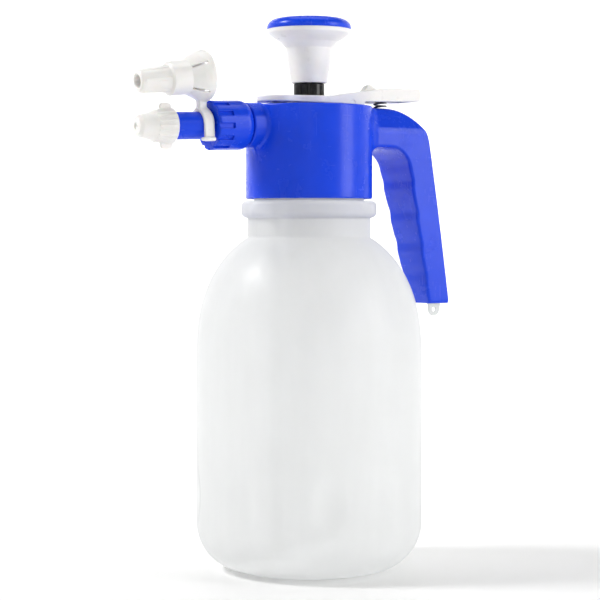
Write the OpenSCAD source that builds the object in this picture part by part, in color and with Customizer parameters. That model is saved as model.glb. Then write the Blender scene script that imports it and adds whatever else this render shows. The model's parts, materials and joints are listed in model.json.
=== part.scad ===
// Hand-pumped pressure sprayer with a screw-on head, a thumb lever and a clip-on foam nozzle.
// The origin is the centre of the bottle's base. +Z is the pump's axis and the nozzle points along -X.

/* [Bottle] */
// Outside radius of the bottle
tank_r = 63.4; // [62.8:0.1:64]
// Thickness of the bottle's wall
tank_wall = 1.8; // [1.5:0.1:2]
// Height at which the straight wall ends and the shoulder starts
shoulder_z = 121; // [119:0.5:122]
// Rise of the shoulder's curve, if it ran on to the axis
shoulder_rise = 74.5; // [73:0.5:75.5]
// Radius of the fillet round the base
base_fillet = 27; // [25:0.5:28]
// Outside radius of the plain neck below the bead
neck_r = 34.4; // [34:0.1:35]
// Outside radius of the bead on the neck
bead_r = 38; // [37:0.1:39]
// Radius of the hole through the neck
mouth_r = 28.3; // [28:0.1:28.5]
// Height of the neck's lip
lip_z = 230; // [229.5:0.1:230]
// Pitch of the thread on the neck
neck_pitch = 5; // [4.8:0.1:5.2]

/* [Head] */
// Outside radius of the head's collar
collar_r = 35.5; // [35.3:0.1:36]
// Height of the collar's lower edge
collar_z = 208.4; // [208:0.1:209]
// Height of the collar's upper rim
rim_z = 260.3; // [260.1:0.1:260.5]
// Height of the deck inside the rim
deck_z = 258.8; // [258.6:0.1:259]
// Width of the handle half way down
handle_w = 28.8; // [28:0.2:29.6]
// Change in the handle's half width for each millimetre of height
handle_taper = 0.07; // [0.05:0.005:0.07]
// Height of the flat top of the bridge that carries the handle
bridge_top_z = 260; // [259.5:0.1:260]
// Height of the underside of the bridge
bridge_low_z = 237.8; // [237:0.1:239]
// Height of the handle's lower end
handle_low_z = 148.4; // [147:0.1:150]

/* [Pump] */
// Bore radius of the pump barrel
barrel_bore_r = 11.2; // [11.1:0.1:11.4]
// Outside radius of the pump barrel
barrel_r = 13; // [12.8:0.1:13.2]
// Radius of the pump rod
rod_r = 5.5; // [5:0.1:5.6]
// Radius of the black collar that guides the rod
gland_r = 8.7; // [8.4:0.1:8.9]
// Height of the knob's lower end with the pump pushed down
knob_z = 273.2; // [273.2:0.1:273.6]
// Outside radius of the knob's cap
knob_r = 23.6; // [22:0.1:23.7]
// Overall height with the pump pushed down
total_h = 310; // [309.5:0.1:311]

/* [Lever] */
// Height of the lever's pivot
pivot_z = 262.5; // [262.4:0.1:262.6]
// Distance of the lever's pivot behind the pump axis
pivot_x = 22; // [21.5:0.1:22.5]
// Half the width of the lever
lever_half_w = 11.5; // [11:0.1:12]
// Distance of the valve in front of the pump axis
valve_x = 21.5; // [21.2:0.1:21.8]

/* [Nozzle] */
// Droop of the nozzle's axis in degrees
nozzle_droop = 2; // [1:0.5:3]
// Radius of the blue nozzle tube
tube_r = 7.5; // [7.4:0.1:7.6]
// Outside radius of the swivel nut
nut_r = 13.6; // [13.2:0.1:13.8]
// Number of grip ribs round the swivel nut
nut_ribs = 12; // [8:1:14]
// Droop of the foam nozzle's axis in degrees
foam_droop = 6.9; // [6:0.1:8]
// Number of air slots round the foam nozzle's skirt
foam_slots = 5; // [4:1:8]

/* [Hidden] */
$fn = 96;

BLUE = [0.09, 0.2, 0.84];
WHITE = [0.95, 0.95, 0.93];
MILKY = [0.9, 0.91, 0.9, 0.6];
BLACK = [0.05, 0.05, 0.06];
RUBBER = [0.12, 0.12, 0.13];
STEEL = [0.6, 0.6, 0.62];

// Running clearance on a radius, and the overlap that joins two shapes of one piece.
RUN = 0.05;
JOIN = 0.4;

// Bottle
shoulder_power = 2.3;
curve_steps = 22;
fillet_steps = 10;
foot_r = tank_r - base_fillet;
push_up_r = 28;
bead_low_z = 197.7;
bead_top_z = 207.2;
thread_root_r = 30.8;
thread_crest_r = 32.6;
thread_turns = 1.75;
thread_z = 212.5;
thread_steps = 36;
spring_steps = 16;

// Head
collar_bore_r = 33;
seat_z = lip_z + 2.5;
cavity_r = 29;
deck_t = 3;
recess_r = collar_r - 1.4;
socket_r = 15.3;
boss_z = 248.9;
boss_x = 35;
boss_r = 12.4;
boss_len = 7;
spigot_r = 10.5;
spigot_end = 22.9;
channel_r = 3;
bridge_start_x = 30;
bridge_crease_z = 248;
bridge_top_half_w = 10.5;
corner_r = 20;
handle_mid_z = 200;
grip_x = 64.1;
grip_slope = 0.222;
outer_x = 81.2;
outer_slope = 0.234;
knee_z = 185;
foot_x = 90.4;
finger_pitch = 18;
finger_depth = 0.3;
hollow_half_w = 9;
plug_t = 4;
eyelet = [81.6, -6.2, 144.9];
eyelet_r = 1.4;
eyelet_rim_r = 3.7;
tab_t = 1.6;

// Valve
chamber_r = 4.6;
chamber_z = 237;
stem_r = 2;
gland_low_z = 253;
stem_foot_top_z = 241;
stem_head_z = 263.9;
dip_r = 3.5;
dip_bore_r = 2.4;
dip_top_z = 229.8;
dip_low_z = 10;

// Lever
pin_r = 1.5;
lug_half_w = 8.5;
lug_r = 3.2;
ring_r = 13.5;
ring_bore_r = 10.5;
nose_x = 20.3;
nose_r = 12;
lever_end_x = 69.2;
ridge_half_w = 2.6;
spring_x = 48;
spring_r = 4;
spring_low_z = 257;
spring_top_z = 269.2;

// Pump
barrel_low_z = 128;
barrel_flange_r = 14.6;
barrel_top_z = deck_z + 2;
piston_z = 134;
piston_h = 10;
bumper_t = 3;
gland_spigot_z = 243;
gland_top_z = 273;
rod_top_z = 298;
cap_seat_z = 303.2;

// Nozzle, with distances along its own axis from the point where it meets the collar's wall
gasket_t = 1.5;
flange_t = 2.4;
flange_r = 9.8;
nut_start = 7.6;
nut_end = 29.3;
nut_rib_start = 20.3;
tube_end = 51.8;
tube_spigot_r = 6;
tube_spigot_end = 63.8;
cap_start = 52;
cap_end = 73.9;
cap_rear_r = 9.4;
cap_front_r = 5.9;
clip_start = 30.7;
clip_w = 6;
clip_t = 1.8;
foam_x = 66.4;
foam_z = 275;
foam_len = 41.8;

function arc(cx, cy, r, a0, a1, n) =
    [for (i = [0:n]) let (a = a0 + (a1 - a0) * i / n) [cx + r * cos(a), cy + r * sin(a)]];

function reversed(points) = [for (i = [len(points) - 1:-1:0]) points[i]];

// A quarter of a superellipse, from the straight wall up to the radius where the neck starts.
function shoulder(wall_r, rise, neck) =
    let (last = acos(pow(neck / wall_r, shoulder_power / 2)))
    [for (i = [0:curve_steps]) let (a = last * i / curve_steps)
        [wall_r * pow(cos(a), 2 / shoulder_power), shoulder_z + rise * pow(sin(a), 2 / shoulder_power)]];

// The face of the handle that the fingers hold, with a shallow hollow for each finger.
function grip_face(z) =
    grip_x + (handle_mid_z - z) * grip_slope + finger_depth * cos(360 * (z - handle_low_z) / finger_pitch);

function handle_half_w(z) = handle_w / 2 + (z - handle_mid_z) * handle_taper;

// A ridge or wire that winds up round Z. The section is a list of [radial, axial] offsets.
module helix(r, section, pitch, turns, start_z, steps_per_turn, fade) {
    steps = round(turns * steps_per_turn);
    n = len(section);
    points = [for (i = [0:steps])
        let (turned = i / steps_per_turn, a = 360 * turned,
            full = min(1, (i + 1) / fade, (steps - i + 1) / fade))
        for (p = section)
            [(r + p[0] * full) * cos(a), (r + p[0] * full) * sin(a), start_z + pitch * turned + p[1]]];
    sides = [for (i = [0:steps - 1], j = [0:n - 1], half = [0, 1])
        let (a = i * n + j, b = i * n + (j + 1) % n)
        half == 0 ? [a, b, a + n] : [b, b + n, a + n]];
    ends = [[for (j = [n - 1:-1:0]) j], [for (j = [0:n - 1]) steps * n + j]];
    polyhedron(points, concat(ends, sides));
}

module coil_spring(r, wire_r, low_z, top_z, turns) {
    wire_sides = 6;
    wire = [for (i = [0:wire_sides - 1]) wire_r * [cos(360 * i / wire_sides), sin(360 * i / wire_sides)]];
    helix(r, wire, (top_z - low_z - 2 * wire_r) / turns, turns, low_z + wire_r, spring_steps, 1);
}

module ring(outer_r, inner_r, low_z, top_z) {
    rotate_extrude() translate([inner_r, low_z]) square([outer_r - inner_r, top_z - low_z]);
}

module rod(r, low_z, top_z) {
    translate([0, 0, low_z]) cylinder(r = r, h = top_z - low_z);
}

module along_nozzle() {
    translate([-boss_x, 0, boss_z]) rotate([0, -90 - nozzle_droop, 0]) children();
}

module along_foam() {
    translate([-foam_x, 0, foam_z]) rotate([0, -90 - foam_droop, 0]) children();
}

// Extrudes an outline drawn in X and Z to a width that is centred on Y.
module across(width) {
    translate([0, width / 2, 0]) rotate([90, 0, 0]) linear_extrude(width) children();
}

module at_valve() {
    translate([-valve_x, 0, 0]) children();
}

// ---------- Bottle ----------

module tank() {
    inner_r = tank_r - tank_wall;
    outside = concat(
        [[0, 3], [push_up_r - 2, 2.2], [push_up_r, 0]],
        arc(foot_r, base_fillet, base_fillet, -90, 0, fillet_steps),
        shoulder(tank_r, shoulder_rise, neck_r),
        [[neck_r, bead_low_z], [bead_r - 1.8, bead_low_z + 0.5], [bead_r, bead_low_z + 2.6],
            [bead_r, bead_top_z - 2.2], [bead_r - 0.8, bead_top_z], [thread_root_r, bead_top_z],
            [thread_root_r, lip_z]]);
    inside = concat(
        [[0, 3 + tank_wall], [push_up_r - 2.5, 2.2 + tank_wall], [push_up_r - 0.5, tank_wall]],
        arc(foot_r, base_fillet, base_fillet - tank_wall, -90, 0, fillet_steps),
        shoulder(inner_r, shoulder_rise - tank_wall, neck_r - tank_wall),
        [[neck_r - tank_wall, bead_low_z + 2.3], [mouth_r, bead_top_z - 1], [mouth_r, lip_z]]);
    color(MILKY) union() {
        rotate_extrude() polygon(concat(outside, reversed(inside)));
        helix(thread_root_r, [[-JOIN, -1.1], [thread_crest_r - thread_root_r, -0.6],
            [thread_crest_r - thread_root_r, 0.6], [-JOIN, 1.1]],
            neck_pitch, thread_turns, thread_z, thread_steps, 4);
    }
}

module neck_gasket() {
    color(RUBBER) ring(collar_bore_r - 0.2, mouth_r + 0.2, lip_z, seat_z);
}

// ---------- Head ----------

// The collar's shell, open downwards, with a recessed deck on top.
module collar_shell() {
    edge = 0.8;
    rotate_extrude() polygon(concat(
        [[collar_bore_r, collar_z]],
        arc(collar_r - edge, collar_z + edge, edge, -90, 0, 4),
        arc(collar_r - edge, rim_z - edge, edge, 0, 90, 4),
        [[recess_r, rim_z], [recess_r, deck_z], [0, deck_z], [0, deck_z - deck_t],
            [cavity_r, deck_z - deck_t], [cavity_r, seat_z], [collar_bore_r, seat_z]]));
}

module collar_thread() {
    helix(collar_bore_r, [[thread_crest_r - collar_bore_r - 1.3, -0.6], [JOIN, -1.1],
        [JOIN, 1.1], [thread_crest_r - collar_bore_r - 1.3, 0.6]],
        neck_pitch, thread_turns, thread_z + neck_pitch / 2, thread_steps, 4);
}

// The side view of the bridge and the handle that hangs from it.
module handle_outline() {
    turn = atan(outer_slope);
    corner_z = bridge_top_z - corner_r;
    corner_x = outer_x + (handle_mid_z - corner_z) * outer_slope - corner_r / cos(turn);
    knee_x = outer_x + (handle_mid_z - knee_z) * outer_slope;
    root = 11;
    grip_top_z = bridge_low_z - root;
    grip_steps = 40;
    polygon(concat(
        [[bridge_start_x, bridge_low_z], [bridge_start_x, bridge_top_z]],
        arc(corner_x, corner_z, corner_r, 90, turn, 8),
        [[knee_x, knee_z], [foot_x, handle_low_z + 2], [foot_x - 2, handle_low_z]],
        [for (i = [0:grip_steps])
            let (z = handle_low_z + (grip_top_z - handle_low_z) * i / grip_steps) [grip_face(z), z]],
        arc(grip_face(grip_top_z) - root, bridge_low_z - root, root, 0, 90, 5)));
}

// The handle narrows downwards, and the bridge narrows along its upper edges.
module handle_section() {
    low_half_w = handle_half_w(handle_low_z);
    top_half_w = handle_half_w(bridge_crease_z);
    linear_extrude(100) polygon([[handle_low_z, -low_half_w], [bridge_crease_z, -top_half_w],
        [bridge_top_z - 4, -bridge_top_half_w - 3], [bridge_top_z, -bridge_top_half_w],
        [bridge_top_z, bridge_top_half_w], [bridge_top_z - 4, bridge_top_half_w + 3],
        [bridge_crease_z, top_half_w], [handle_low_z, low_half_w]]);
}

module handle_shell() {
    intersection() {
        across(2 * handle_half_w(bridge_crease_z)) handle_outline();
        rotate([0, -90, 0]) mirror([0, 0, 1]) handle_section();
    }
}

module handle_hollow_outline() {
    polygon([[78.4, handle_low_z], [78.4, handle_low_z - 1], [87.6, handle_low_z - 1],
        [87.6, handle_low_z], [81.4, knee_z], [71.3, 228], [61.6, 228]]);
}

module nozzle_boss() {
    gusset_t = 4;
    along_nozzle() {
        rotate_extrude() polygon([[0, -4], [boss_r, -4], [boss_r, boss_len - 1],
            [boss_r - 1, boss_len], [spigot_r, boss_len], [spigot_r, spigot_end], [0, spigot_end]]);
    }
    across(gusset_t) polygon([[-boss_x + 1, 222], [-boss_x - 0.2, 222], [-boss_x - 5.5, 237],
        [-boss_x + 1, 240]]);
}

module head_columns() {
    top_z = deck_z - deck_t + JOIN;
    ring(socket_r, barrel_r + 0.02, seat_z, top_z);
    at_valve() {
        ring(chamber_r + 1.7, chamber_r, chamber_z, top_z);
        ring(chamber_r + 1.7, 2.5, dip_top_z + 0.2, chamber_z);
        ring(dip_r + 1.3, dip_r, 214, dip_top_z + 0.2);
    }
    intersection() {
        along_nozzle() rod(channel_r + 2.2, -14, -4);
        translate([-cavity_r - 1, -10, seat_z]) cube([cavity_r + 1 - valve_x, 20, deck_z - seat_z]);
    }
}

module lever_lug() {
    across(2 * lug_half_w) union() {
        translate([pivot_x - lug_r, deck_z - JOIN]) square([2 * lug_r, pivot_z - deck_z + JOIN]);
        translate([pivot_x, pivot_z]) circle(lug_r);
    }
}

module head_body() {
    color(BLUE) difference() {
        union() {
            difference() {
                union() {
                    collar_shell();
                    handle_shell();
                    nozzle_boss();
                }
                rod(cavity_r, seat_z, deck_z - deck_t);
                rod(recess_r, deck_z, rim_z + 10);
            }
            collar_thread();
            head_columns();
            lever_lug();
        }
        rod(barrel_r + 0.02, seat_z - 1, deck_z + 1);
        rod(barrel_r + 1.2, deck_z - 2, deck_z + 1);
        at_valve() rod(chamber_r, chamber_z, deck_z + 1);
        along_nozzle() rod(channel_r, -valve_x + 12, spigot_end + 1);
        across(2 * hollow_half_w) handle_hollow_outline();
        translate([spring_x, 0, 0]) rod(spring_r + 1, spring_low_z, rim_z + 1);
        translate([pivot_x, 0, pivot_z]) rotate([90, 0, 0])
            cylinder(r = pin_r, h = 4 * lug_half_w, center = true);
    }
}

// The plug closes the hollow handle and carries the hanging eyelet.
module handle_plug() {
    low_x = 78.8;
    high_x = 87.4;
    color(MILKY) union() {
        intersection() {
            across(2 * hollow_half_w) handle_hollow_outline();
            translate([0, -handle_w, handle_low_z]) cube([100, 2 * handle_w, plug_t]);
        }
        translate([0, eyelet[1] + tab_t / 2, 0]) rotate([90, 0, 0]) linear_extrude(tab_t) difference() {
            union() {
                translate([eyelet[0], eyelet[2]]) circle(eyelet_rim_r);
                polygon([[low_x, handle_low_z + 1], [eyelet[0] - eyelet_rim_r * cos(20),
                    eyelet[2] - eyelet_rim_r * sin(20)], [eyelet[0] + eyelet_rim_r * cos(20),
                    eyelet[2] - eyelet_rim_r * sin(20)], [high_x - 0.3, handle_low_z + 1]]);
            }
            translate([eyelet[0], eyelet[2]]) circle(eyelet_r);
        }
    }
}

// ---------- Lever and valve ----------

module lever_plan() {
    translate([-nose_x, 0]) circle(nose_r);
    circle(ring_r);
    translate([-nose_x, -lever_half_w]) square([nose_x + lever_end_x, 2 * lever_half_w]);
}

// The side view rises from the nose to the thumb pad.
module lever_side() {
    polygon([[-33, 262], [-33, 264.6], [-31.5, 265.4], [10, 265.8], [19, 268], [26.7, 268.8],
        [41, 271], [67.5, 271.7], [69.2, 270.4], [69.2, 264.8], [40, 263.7], [31, 263.4],
        [29, 259.8], [barrel_flange_r + 0.7, 259.8], [barrel_flange_r + 0.7, 262]]);
}

module lever_ridge() {
    polygon([[33.4, 268.4], [35.2, 270], [38.3, 273.7], [40.7, 273.7], [45, 271.1], [46.8, 269.9],
        [39, 269.2]]);
}

module lever_hollow() {
    polygon([[ring_r, 258], [ring_r, 264.4], [19, 266.2], [28, 267], [40.8, spring_top_z],
        [67, spring_top_z], [67, 258]]);
}

module lever() {
    counterbore_z = 263.4;
    color(WHITE) difference() {
        union() {
            difference() {
                union() {
                    intersection() {
                        translate([0, 0, 255]) linear_extrude(25) lever_plan();
                        across(3 * lever_half_w) lever_side();
                    }
                    across(2 * ridge_half_w) lever_ridge();
                }
                across(2 * lever_half_w - 4.2) lever_hollow();
            }
            translate([spring_x, 0, 0]) rod(spring_r - 1.2, 266, 270);
        }
        rod(ring_bore_r, 250, 280);
        at_valve() rod(stem_r + 0.6, 250, 280);
        at_valve() rod(chamber_r - 0.2, counterbore_z, 280);
        translate([pivot_x, 0, pivot_z]) rotate([90, 0, 0])
            cylinder(r = pin_r + RUN, h = 4 * lever_half_w, center = true);
    }
}

module lever_pin() {
    color(WHITE) translate([pivot_x, 0, pivot_z]) rotate([90, 0, 0])
        cylinder(r = pin_r, h = 2 * lever_half_w - 0.4, center = true);
}

module lever_spring() {
    color(STEEL) translate([spring_x, 0, 0])
        coil_spring(spring_r - 0.5, 0.5, spring_low_z, spring_top_z, 7);
}

module valve_stem() {
    color(WHITE) at_valve() rotate_extrude() polygon([[0, 239], [3.6, 239], [3.6, stem_foot_top_z],
        [stem_r, stem_foot_top_z], [stem_r, stem_head_z], [3.9, stem_head_z],
        [3.9, stem_head_z + 1], [3.5, stem_head_z + 1.4], [0, stem_head_z + 1.4]]);
}

module valve_seal() {
    color(RUBBER) at_valve() rod(3.8, chamber_z, chamber_z + 2);
}

module valve_spring() {
    color(STEEL) at_valve() coil_spring(3, 0.35, stem_foot_top_z, gland_low_z, 6);
}

module valve_gland() {
    bore = stem_r + RUN;
    color(WHITE) at_valve() rotate_extrude() polygon([[bore, gland_low_z], [chamber_r, gland_low_z],
        [chamber_r, deck_z], [6, deck_z], [6, deck_z + 1.6], [5.6, deck_z + 2], [bore, deck_z + 2]]);
}

// ---------- Pump ----------

module pump_barrel() {
    vent_r = 1;
    color(WHITE) difference() {
        rotate_extrude() polygon([[0, barrel_low_z], [barrel_r - 1, barrel_low_z],
            [barrel_r, barrel_low_z + 1], [barrel_r, deck_z], [barrel_flange_r, deck_z],
            [barrel_flange_r, barrel_top_z - 0.4], [barrel_flange_r - 0.4, barrel_top_z],
            [barrel_bore_r, barrel_top_z], [barrel_bore_r, barrel_low_z + 2], [0, barrel_low_z + 2]]);
        rod(1.5, barrel_low_z - 1, barrel_low_z + 3);
        for (i = [0:3]) rotate(90 * i) translate([4.2, 0, 0]) rod(vent_r, barrel_low_z - 1, barrel_low_z + 3);
    }
}

module barrel_oring() {
    section_r = 0.6;
    color(RUBBER) rotate_extrude() translate([barrel_r + section_r, deck_z - 1.2]) circle(section_r, $fn = 24);
}

// The black collar screws into the barrel and guides the rod; two slots take a spanner.
module pump_gland() {
    slot_w = 2;
    slot_angle = 58;
    color(BLACK) difference() {
        rotate_extrude() polygon(concat(
            [[rod_r + RUN, gland_spigot_z], [barrel_bore_r, gland_spigot_z],
                [barrel_bore_r, barrel_top_z], [gland_r, barrel_top_z]],
            arc(gland_r - 0.7, gland_top_z - 0.7, 0.7, 0, 90, 4),
            [[rod_r + RUN, gland_top_z]]));
        for (side = [0, 180]) rotate(slot_angle + side)
            translate([rod_r + 1.3, -slot_w / 2, 264]) cube([6, slot_w, 12]);
    }
}

module pump_rod() {
    color(WHITE) ring(rod_r, rod_r - 1.8, piston_z + 6, rod_top_z);
}

module piston() {
    groove_low = piston_z + 2;
    groove_top = piston_z + 5;
    skirt_r = barrel_bore_r - 0.2;
    color(BLACK) rotate_extrude() polygon([[0, piston_z], [skirt_r, piston_z], [skirt_r, groove_low],
        [9, groove_low], [9, groove_top], [skirt_r, groove_top], [skirt_r, piston_z + piston_h],
        [rod_r, piston_z + piston_h], [rod_r, piston_z + 6], [0, piston_z + 6]]);
}

module piston_seal() {
    color(RUBBER) ring(barrel_bore_r - RUN, 9, piston_z + 2, piston_z + 5);
}

module rod_bumper() {
    low_z = piston_z + piston_h;
    color(RUBBER) ring(9, rod_r, low_z, low_z + bumper_t);
}

// An umbrella of rubber under the barrel lets air out into the bottle and stops it coming back.
module check_valve() {
    color(RUBBER) rotate_extrude() polygon([[0, barrel_low_z - 1.4], [3, barrel_low_z - 1.4],
        [7, barrel_low_z - 0.6], [7, barrel_low_z], [1.5, barrel_low_z], [1.5, barrel_low_z + 2],
        [2.2, barrel_low_z + 2], [0.8, barrel_low_z + 4], [0, barrel_low_z + 4]]);
}

module knob_body() {
    hub_r = rod_r + 2;
    color(WHITE) rotate_extrude() polygon([[rod_r, knob_z], [10.1, knob_z], [10.6, knob_z + 0.6],
        [13.2, 292.8], [15.9, 296.2], [20, 298.6], [22.9, 301], [23.6, cap_seat_z], [21.2, cap_seat_z],
        [18.6, 301.6], [14, 299.8], [11.2, 294], [8.8, knob_z + 3], [hub_r, knob_z + 3],
        [hub_r, rod_top_z + 1], [rod_r, rod_top_z + 1]]);
}

module knob_cap() {
    hub_r = rod_r + 2;
    color(BLUE) rotate_extrude() polygon(concat(
        [[21.2, cap_seat_z], [knob_r - 0.3, cap_seat_z]],
        [for (i = [0:8]) let (a = 90 * i / 8)
            [knob_r - 7 + 7 * cos(a), cap_seat_z + 1.2 + (total_h - cap_seat_z - 1.6) * sin(a)]],
        [[0, total_h], [0, total_h - 2.2], [hub_r, total_h - 2.4], [hub_r, rod_top_z + 1.5],
            [hub_r + 1.6, rod_top_z + 1.5], [hub_r + 1.6, total_h - 2.5], [17, total_h - 3.4],
            [21.2, total_h - 5.2]]));
}

// ---------- Nozzle ----------

module tube_gasket() {
    color(RUBBER) along_nozzle() ring(flange_r - 0.3, channel_r + 1.2, spigot_end, spigot_end + gasket_t);
}

module nozzle_tube() {
    low = spigot_end + gasket_t;
    bore = 3.5;
    color(BLUE) along_nozzle() rotate_extrude() polygon([[bore, low], [flange_r, low],
        [flange_r, low + flange_t], [tube_r, low + flange_t], [tube_r, tube_end - 0.5],
        [tube_r - 0.5, tube_end], [tube_spigot_r, tube_end], [tube_spigot_r, tube_spigot_end],
        [bore, tube_spigot_end]]);
}

module swivel_nut() {
    core_r = nut_r - 1.3;
    front_wall = spigot_end + gasket_t + flange_t;
    notch = 360 / nut_ribs * 0.45;
    color(BLUE) along_nozzle() difference() {
        rotate_extrude() polygon([[spigot_r + RUN, nut_start], [nut_r - 1.4, nut_start],
            [nut_r, nut_start + 2.5], [nut_r, nut_end - 0.8], [nut_r - 0.8, nut_end],
            [tube_r + 0.3, nut_end], [tube_r + 0.3, front_wall], [spigot_r + RUN, front_wall]]);
        for (i = [0:nut_ribs - 1]) rotate(360 * i / nut_ribs) translate([0, 0, nut_rib_start])
            rotate_extrude(angle = notch) translate([core_r, 0]) square([3, nut_end - nut_rib_start + 1]);
    }
}

module nozzle_core() {
    color(BLACK) along_nozzle() rotate_extrude() polygon([[1.2, tube_spigot_end - 8],
        [3.5, tube_spigot_end - 8], [3.5, tube_spigot_end], [4.6, tube_spigot_end],
        [4.6, tube_spigot_end + 1.4], [2.5, tube_spigot_end + 2.4], [1.2, tube_spigot_end + 2.4]]);
}

module nozzle_oring() {
    color(RUBBER) along_nozzle() ring(7.25, tube_spigot_r + RUN, cap_start + 2, cap_start + 4);
}

module nozzle_cap() {
    bore = tube_spigot_r + RUN;
    wing_r = 12.6;
    wing_start = cap_start + 0.5;
    wing_len = 7;
    wing_t = 2.2;
    color(WHITE) along_nozzle() difference() {
        union() {
            rotate_extrude() polygon([[0, cap_start], [cap_rear_r, cap_start], [cap_rear_r, cap_start + 3],
                [8.3, cap_start + 10], [cap_front_r + 0.6, cap_end - 5], [cap_front_r, cap_end - 0.8],
                [cap_front_r - 0.8, cap_end], [0, cap_end]]);
            difference() {
                translate([-wing_r, -wing_t / 2, wing_start]) cube([2 * wing_r, wing_t, wing_len]);
                rod(tube_spigot_r, 0, 100);
            }
        }
        rotate_extrude() polygon([[0, cap_start - 1], [bore, cap_start - 1], [bore, cap_start + 2],
            [7.3, cap_start + 2], [7.3, cap_start + 4], [bore, cap_start + 4],
            [bore, tube_spigot_end + 1], [5, tube_spigot_end + 3.6], [0, tube_spigot_end + 3.6]]);
        rotate_extrude() polygon([[0, tube_spigot_end], [0.8, tube_spigot_end], [0.8, cap_end - 1.5],
            [2.4, cap_end + 0.1], [0, cap_end + 0.1]]);
    }
}

// A snap-on clip that holds the foam nozzle above the nozzle tube.
module foam_clip() {
    inner_r = tube_r + RUN;
    outer_r = inner_r + clip_t;
    near_leg = 8.6;
    far_leg = 5.6;
    lip = 0.9;
    along_nozzle() translate([0, 0, clip_start]) difference() {
        union() {
            linear_extrude(clip_w) union() {
                circle(outer_r);
                translate([-near_leg, -outer_r]) square([near_leg, outer_r]);
                translate([-far_leg, 0]) square([far_leg, outer_r]);
                translate([-far_leg, 0]) square([1.6, outer_r + lip]);
            }
            linear_extrude(clip_w + 2) translate([-near_leg, -outer_r - lip]) square([1.8, outer_r]);
        }
        translate([0, 0, -1]) linear_extrude(clip_w + 4) union() {
            circle(inner_r);
            translate([-near_leg - 1, -inner_r]) square([near_leg + 1, 2 * inner_r]);
        }
    }
}

module foam_arm() {
    arm_low = boss_z + tube_r;
    translate([-foam_x - clip_w + 1.1, -2.2, arm_low]) cube([clip_w - 1, 4.4, foam_z - 8.5 - arm_low]);
}

module foam_nozzle() {
    skirt_r = 14.2;
    socket = 6.3;
    skirt_end = 11.5;
    slot_w = 1.4;
    slot_turn = 12;
    color(WHITE) union() {
        along_foam() difference() {
            rotate_extrude() polygon([[skirt_r - 1.8, 0.6], [skirt_r - 0.9, 0], [skirt_r, 0.9],
                [skirt_r - 0.7, 4], [11.2, skirt_end], [9.4, skirt_end + 1.2], [9.2, 23.4],
                [7.6, 24.4], [6.3, foam_len - 1.2], [5.2, foam_len], [3.5, foam_len], [3.5, 34.4],
                [5.2, 33], [5.2, 15], [socket, 14], [socket, 2], [8, 2], [8.2, skirt_end - 1],
                [9.6, skirt_end - 1], [skirt_r - 2.2, 3]]);
            for (i = [0:foam_slots - 1]) rotate(360 * i / foam_slots + slot_turn)
                translate([8.6, -slot_w / 2, 3.8]) cube([8, slot_w, skirt_end - 3.2]);
        }
        difference() {
            foam_arm();
            along_foam() rod(9, -2, 20);
            along_nozzle() rod(tube_r + RUN, 0, 60);
        }
        foam_clip();
    }
}

module foam_mesh() {
    hole_r = 0.45;
    color(STEEL) along_foam() difference() {
        rod(5.2, 31, 32);
        for (i = [-3:3], j = [-3:3]) if (norm([i, j]) < 3.2)
            translate([1.3 * i, 1.3 * j, 30]) cylinder(r = hole_r, h = 3);
    }
}

// ---------- Suction ----------

module dip_tube() {
    color(MILKY) at_valve() ring(dip_r, dip_bore_r, dip_low_z, dip_top_z);
}

module dip_filter() {
    low_z = 6;
    top_z = 18;
    slot_count = 6;
    color(WHITE) at_valve() difference() {
        rotate_extrude() polygon([[0, low_z], [4.4, low_z], [5, low_z + 0.6], [5, top_z],
            [dip_r, top_z], [dip_r, low_z + 1.4], [0, low_z + 1.4]]);
        for (i = [0:slot_count - 1]) rotate(360 * i / slot_count)
            translate([1.4, -0.4, low_z - 1]) cube([3, 0.8, 4]);
    }
}

tank();
neck_gasket();
head_body();
lever();
lever_pin();
lever_spring();
valve_stem();
valve_seal();
valve_spring();
valve_gland();
pump_barrel();
barrel_oring();
pump_gland();
pump_rod();
piston();
piston_seal();
rod_bumper();
check_valve();
knob_body();
knob_cap();
nozzle_tube();
tube_gasket();
swivel_nut();
nozzle_core();
nozzle_oring();
nozzle_cap();
foam_nozzle();
foam_mesh();
dip_tube();
dip_filter();
handle_plug();
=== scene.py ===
"""Looks of the hand-pumped sprayer: detailed pieces, materials, floor, lights and camera."""

import json
import math

import bpy
import numpy as np
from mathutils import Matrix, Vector


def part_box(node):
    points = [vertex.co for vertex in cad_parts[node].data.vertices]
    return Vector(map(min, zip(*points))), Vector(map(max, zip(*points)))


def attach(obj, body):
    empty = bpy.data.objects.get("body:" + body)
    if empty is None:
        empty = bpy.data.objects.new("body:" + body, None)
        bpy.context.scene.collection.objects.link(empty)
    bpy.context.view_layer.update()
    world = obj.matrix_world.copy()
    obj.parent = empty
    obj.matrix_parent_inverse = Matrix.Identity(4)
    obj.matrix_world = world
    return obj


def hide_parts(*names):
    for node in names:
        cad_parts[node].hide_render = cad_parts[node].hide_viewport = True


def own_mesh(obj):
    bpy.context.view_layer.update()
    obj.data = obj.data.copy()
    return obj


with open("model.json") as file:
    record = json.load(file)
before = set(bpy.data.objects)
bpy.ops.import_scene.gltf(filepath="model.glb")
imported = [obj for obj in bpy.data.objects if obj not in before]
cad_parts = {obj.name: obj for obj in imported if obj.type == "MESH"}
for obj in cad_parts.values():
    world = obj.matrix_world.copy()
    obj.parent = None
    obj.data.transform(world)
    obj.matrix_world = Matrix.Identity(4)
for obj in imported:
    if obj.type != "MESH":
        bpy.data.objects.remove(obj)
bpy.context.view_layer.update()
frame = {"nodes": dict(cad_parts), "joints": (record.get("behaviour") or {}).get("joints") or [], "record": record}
joints = {joint["name"]: joint for joint in frame["joints"]}
MM = 0.001


def corners(*names):
    """Lowest and highest corner of CAD nodes, in millimetres."""
    boxes = [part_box(name) for name in names]
    low = np.min([box[0] for box in boxes], axis=0) / MM
    high = np.max([box[1] for box in boxes], axis=0) / MM
    return low, high


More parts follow.
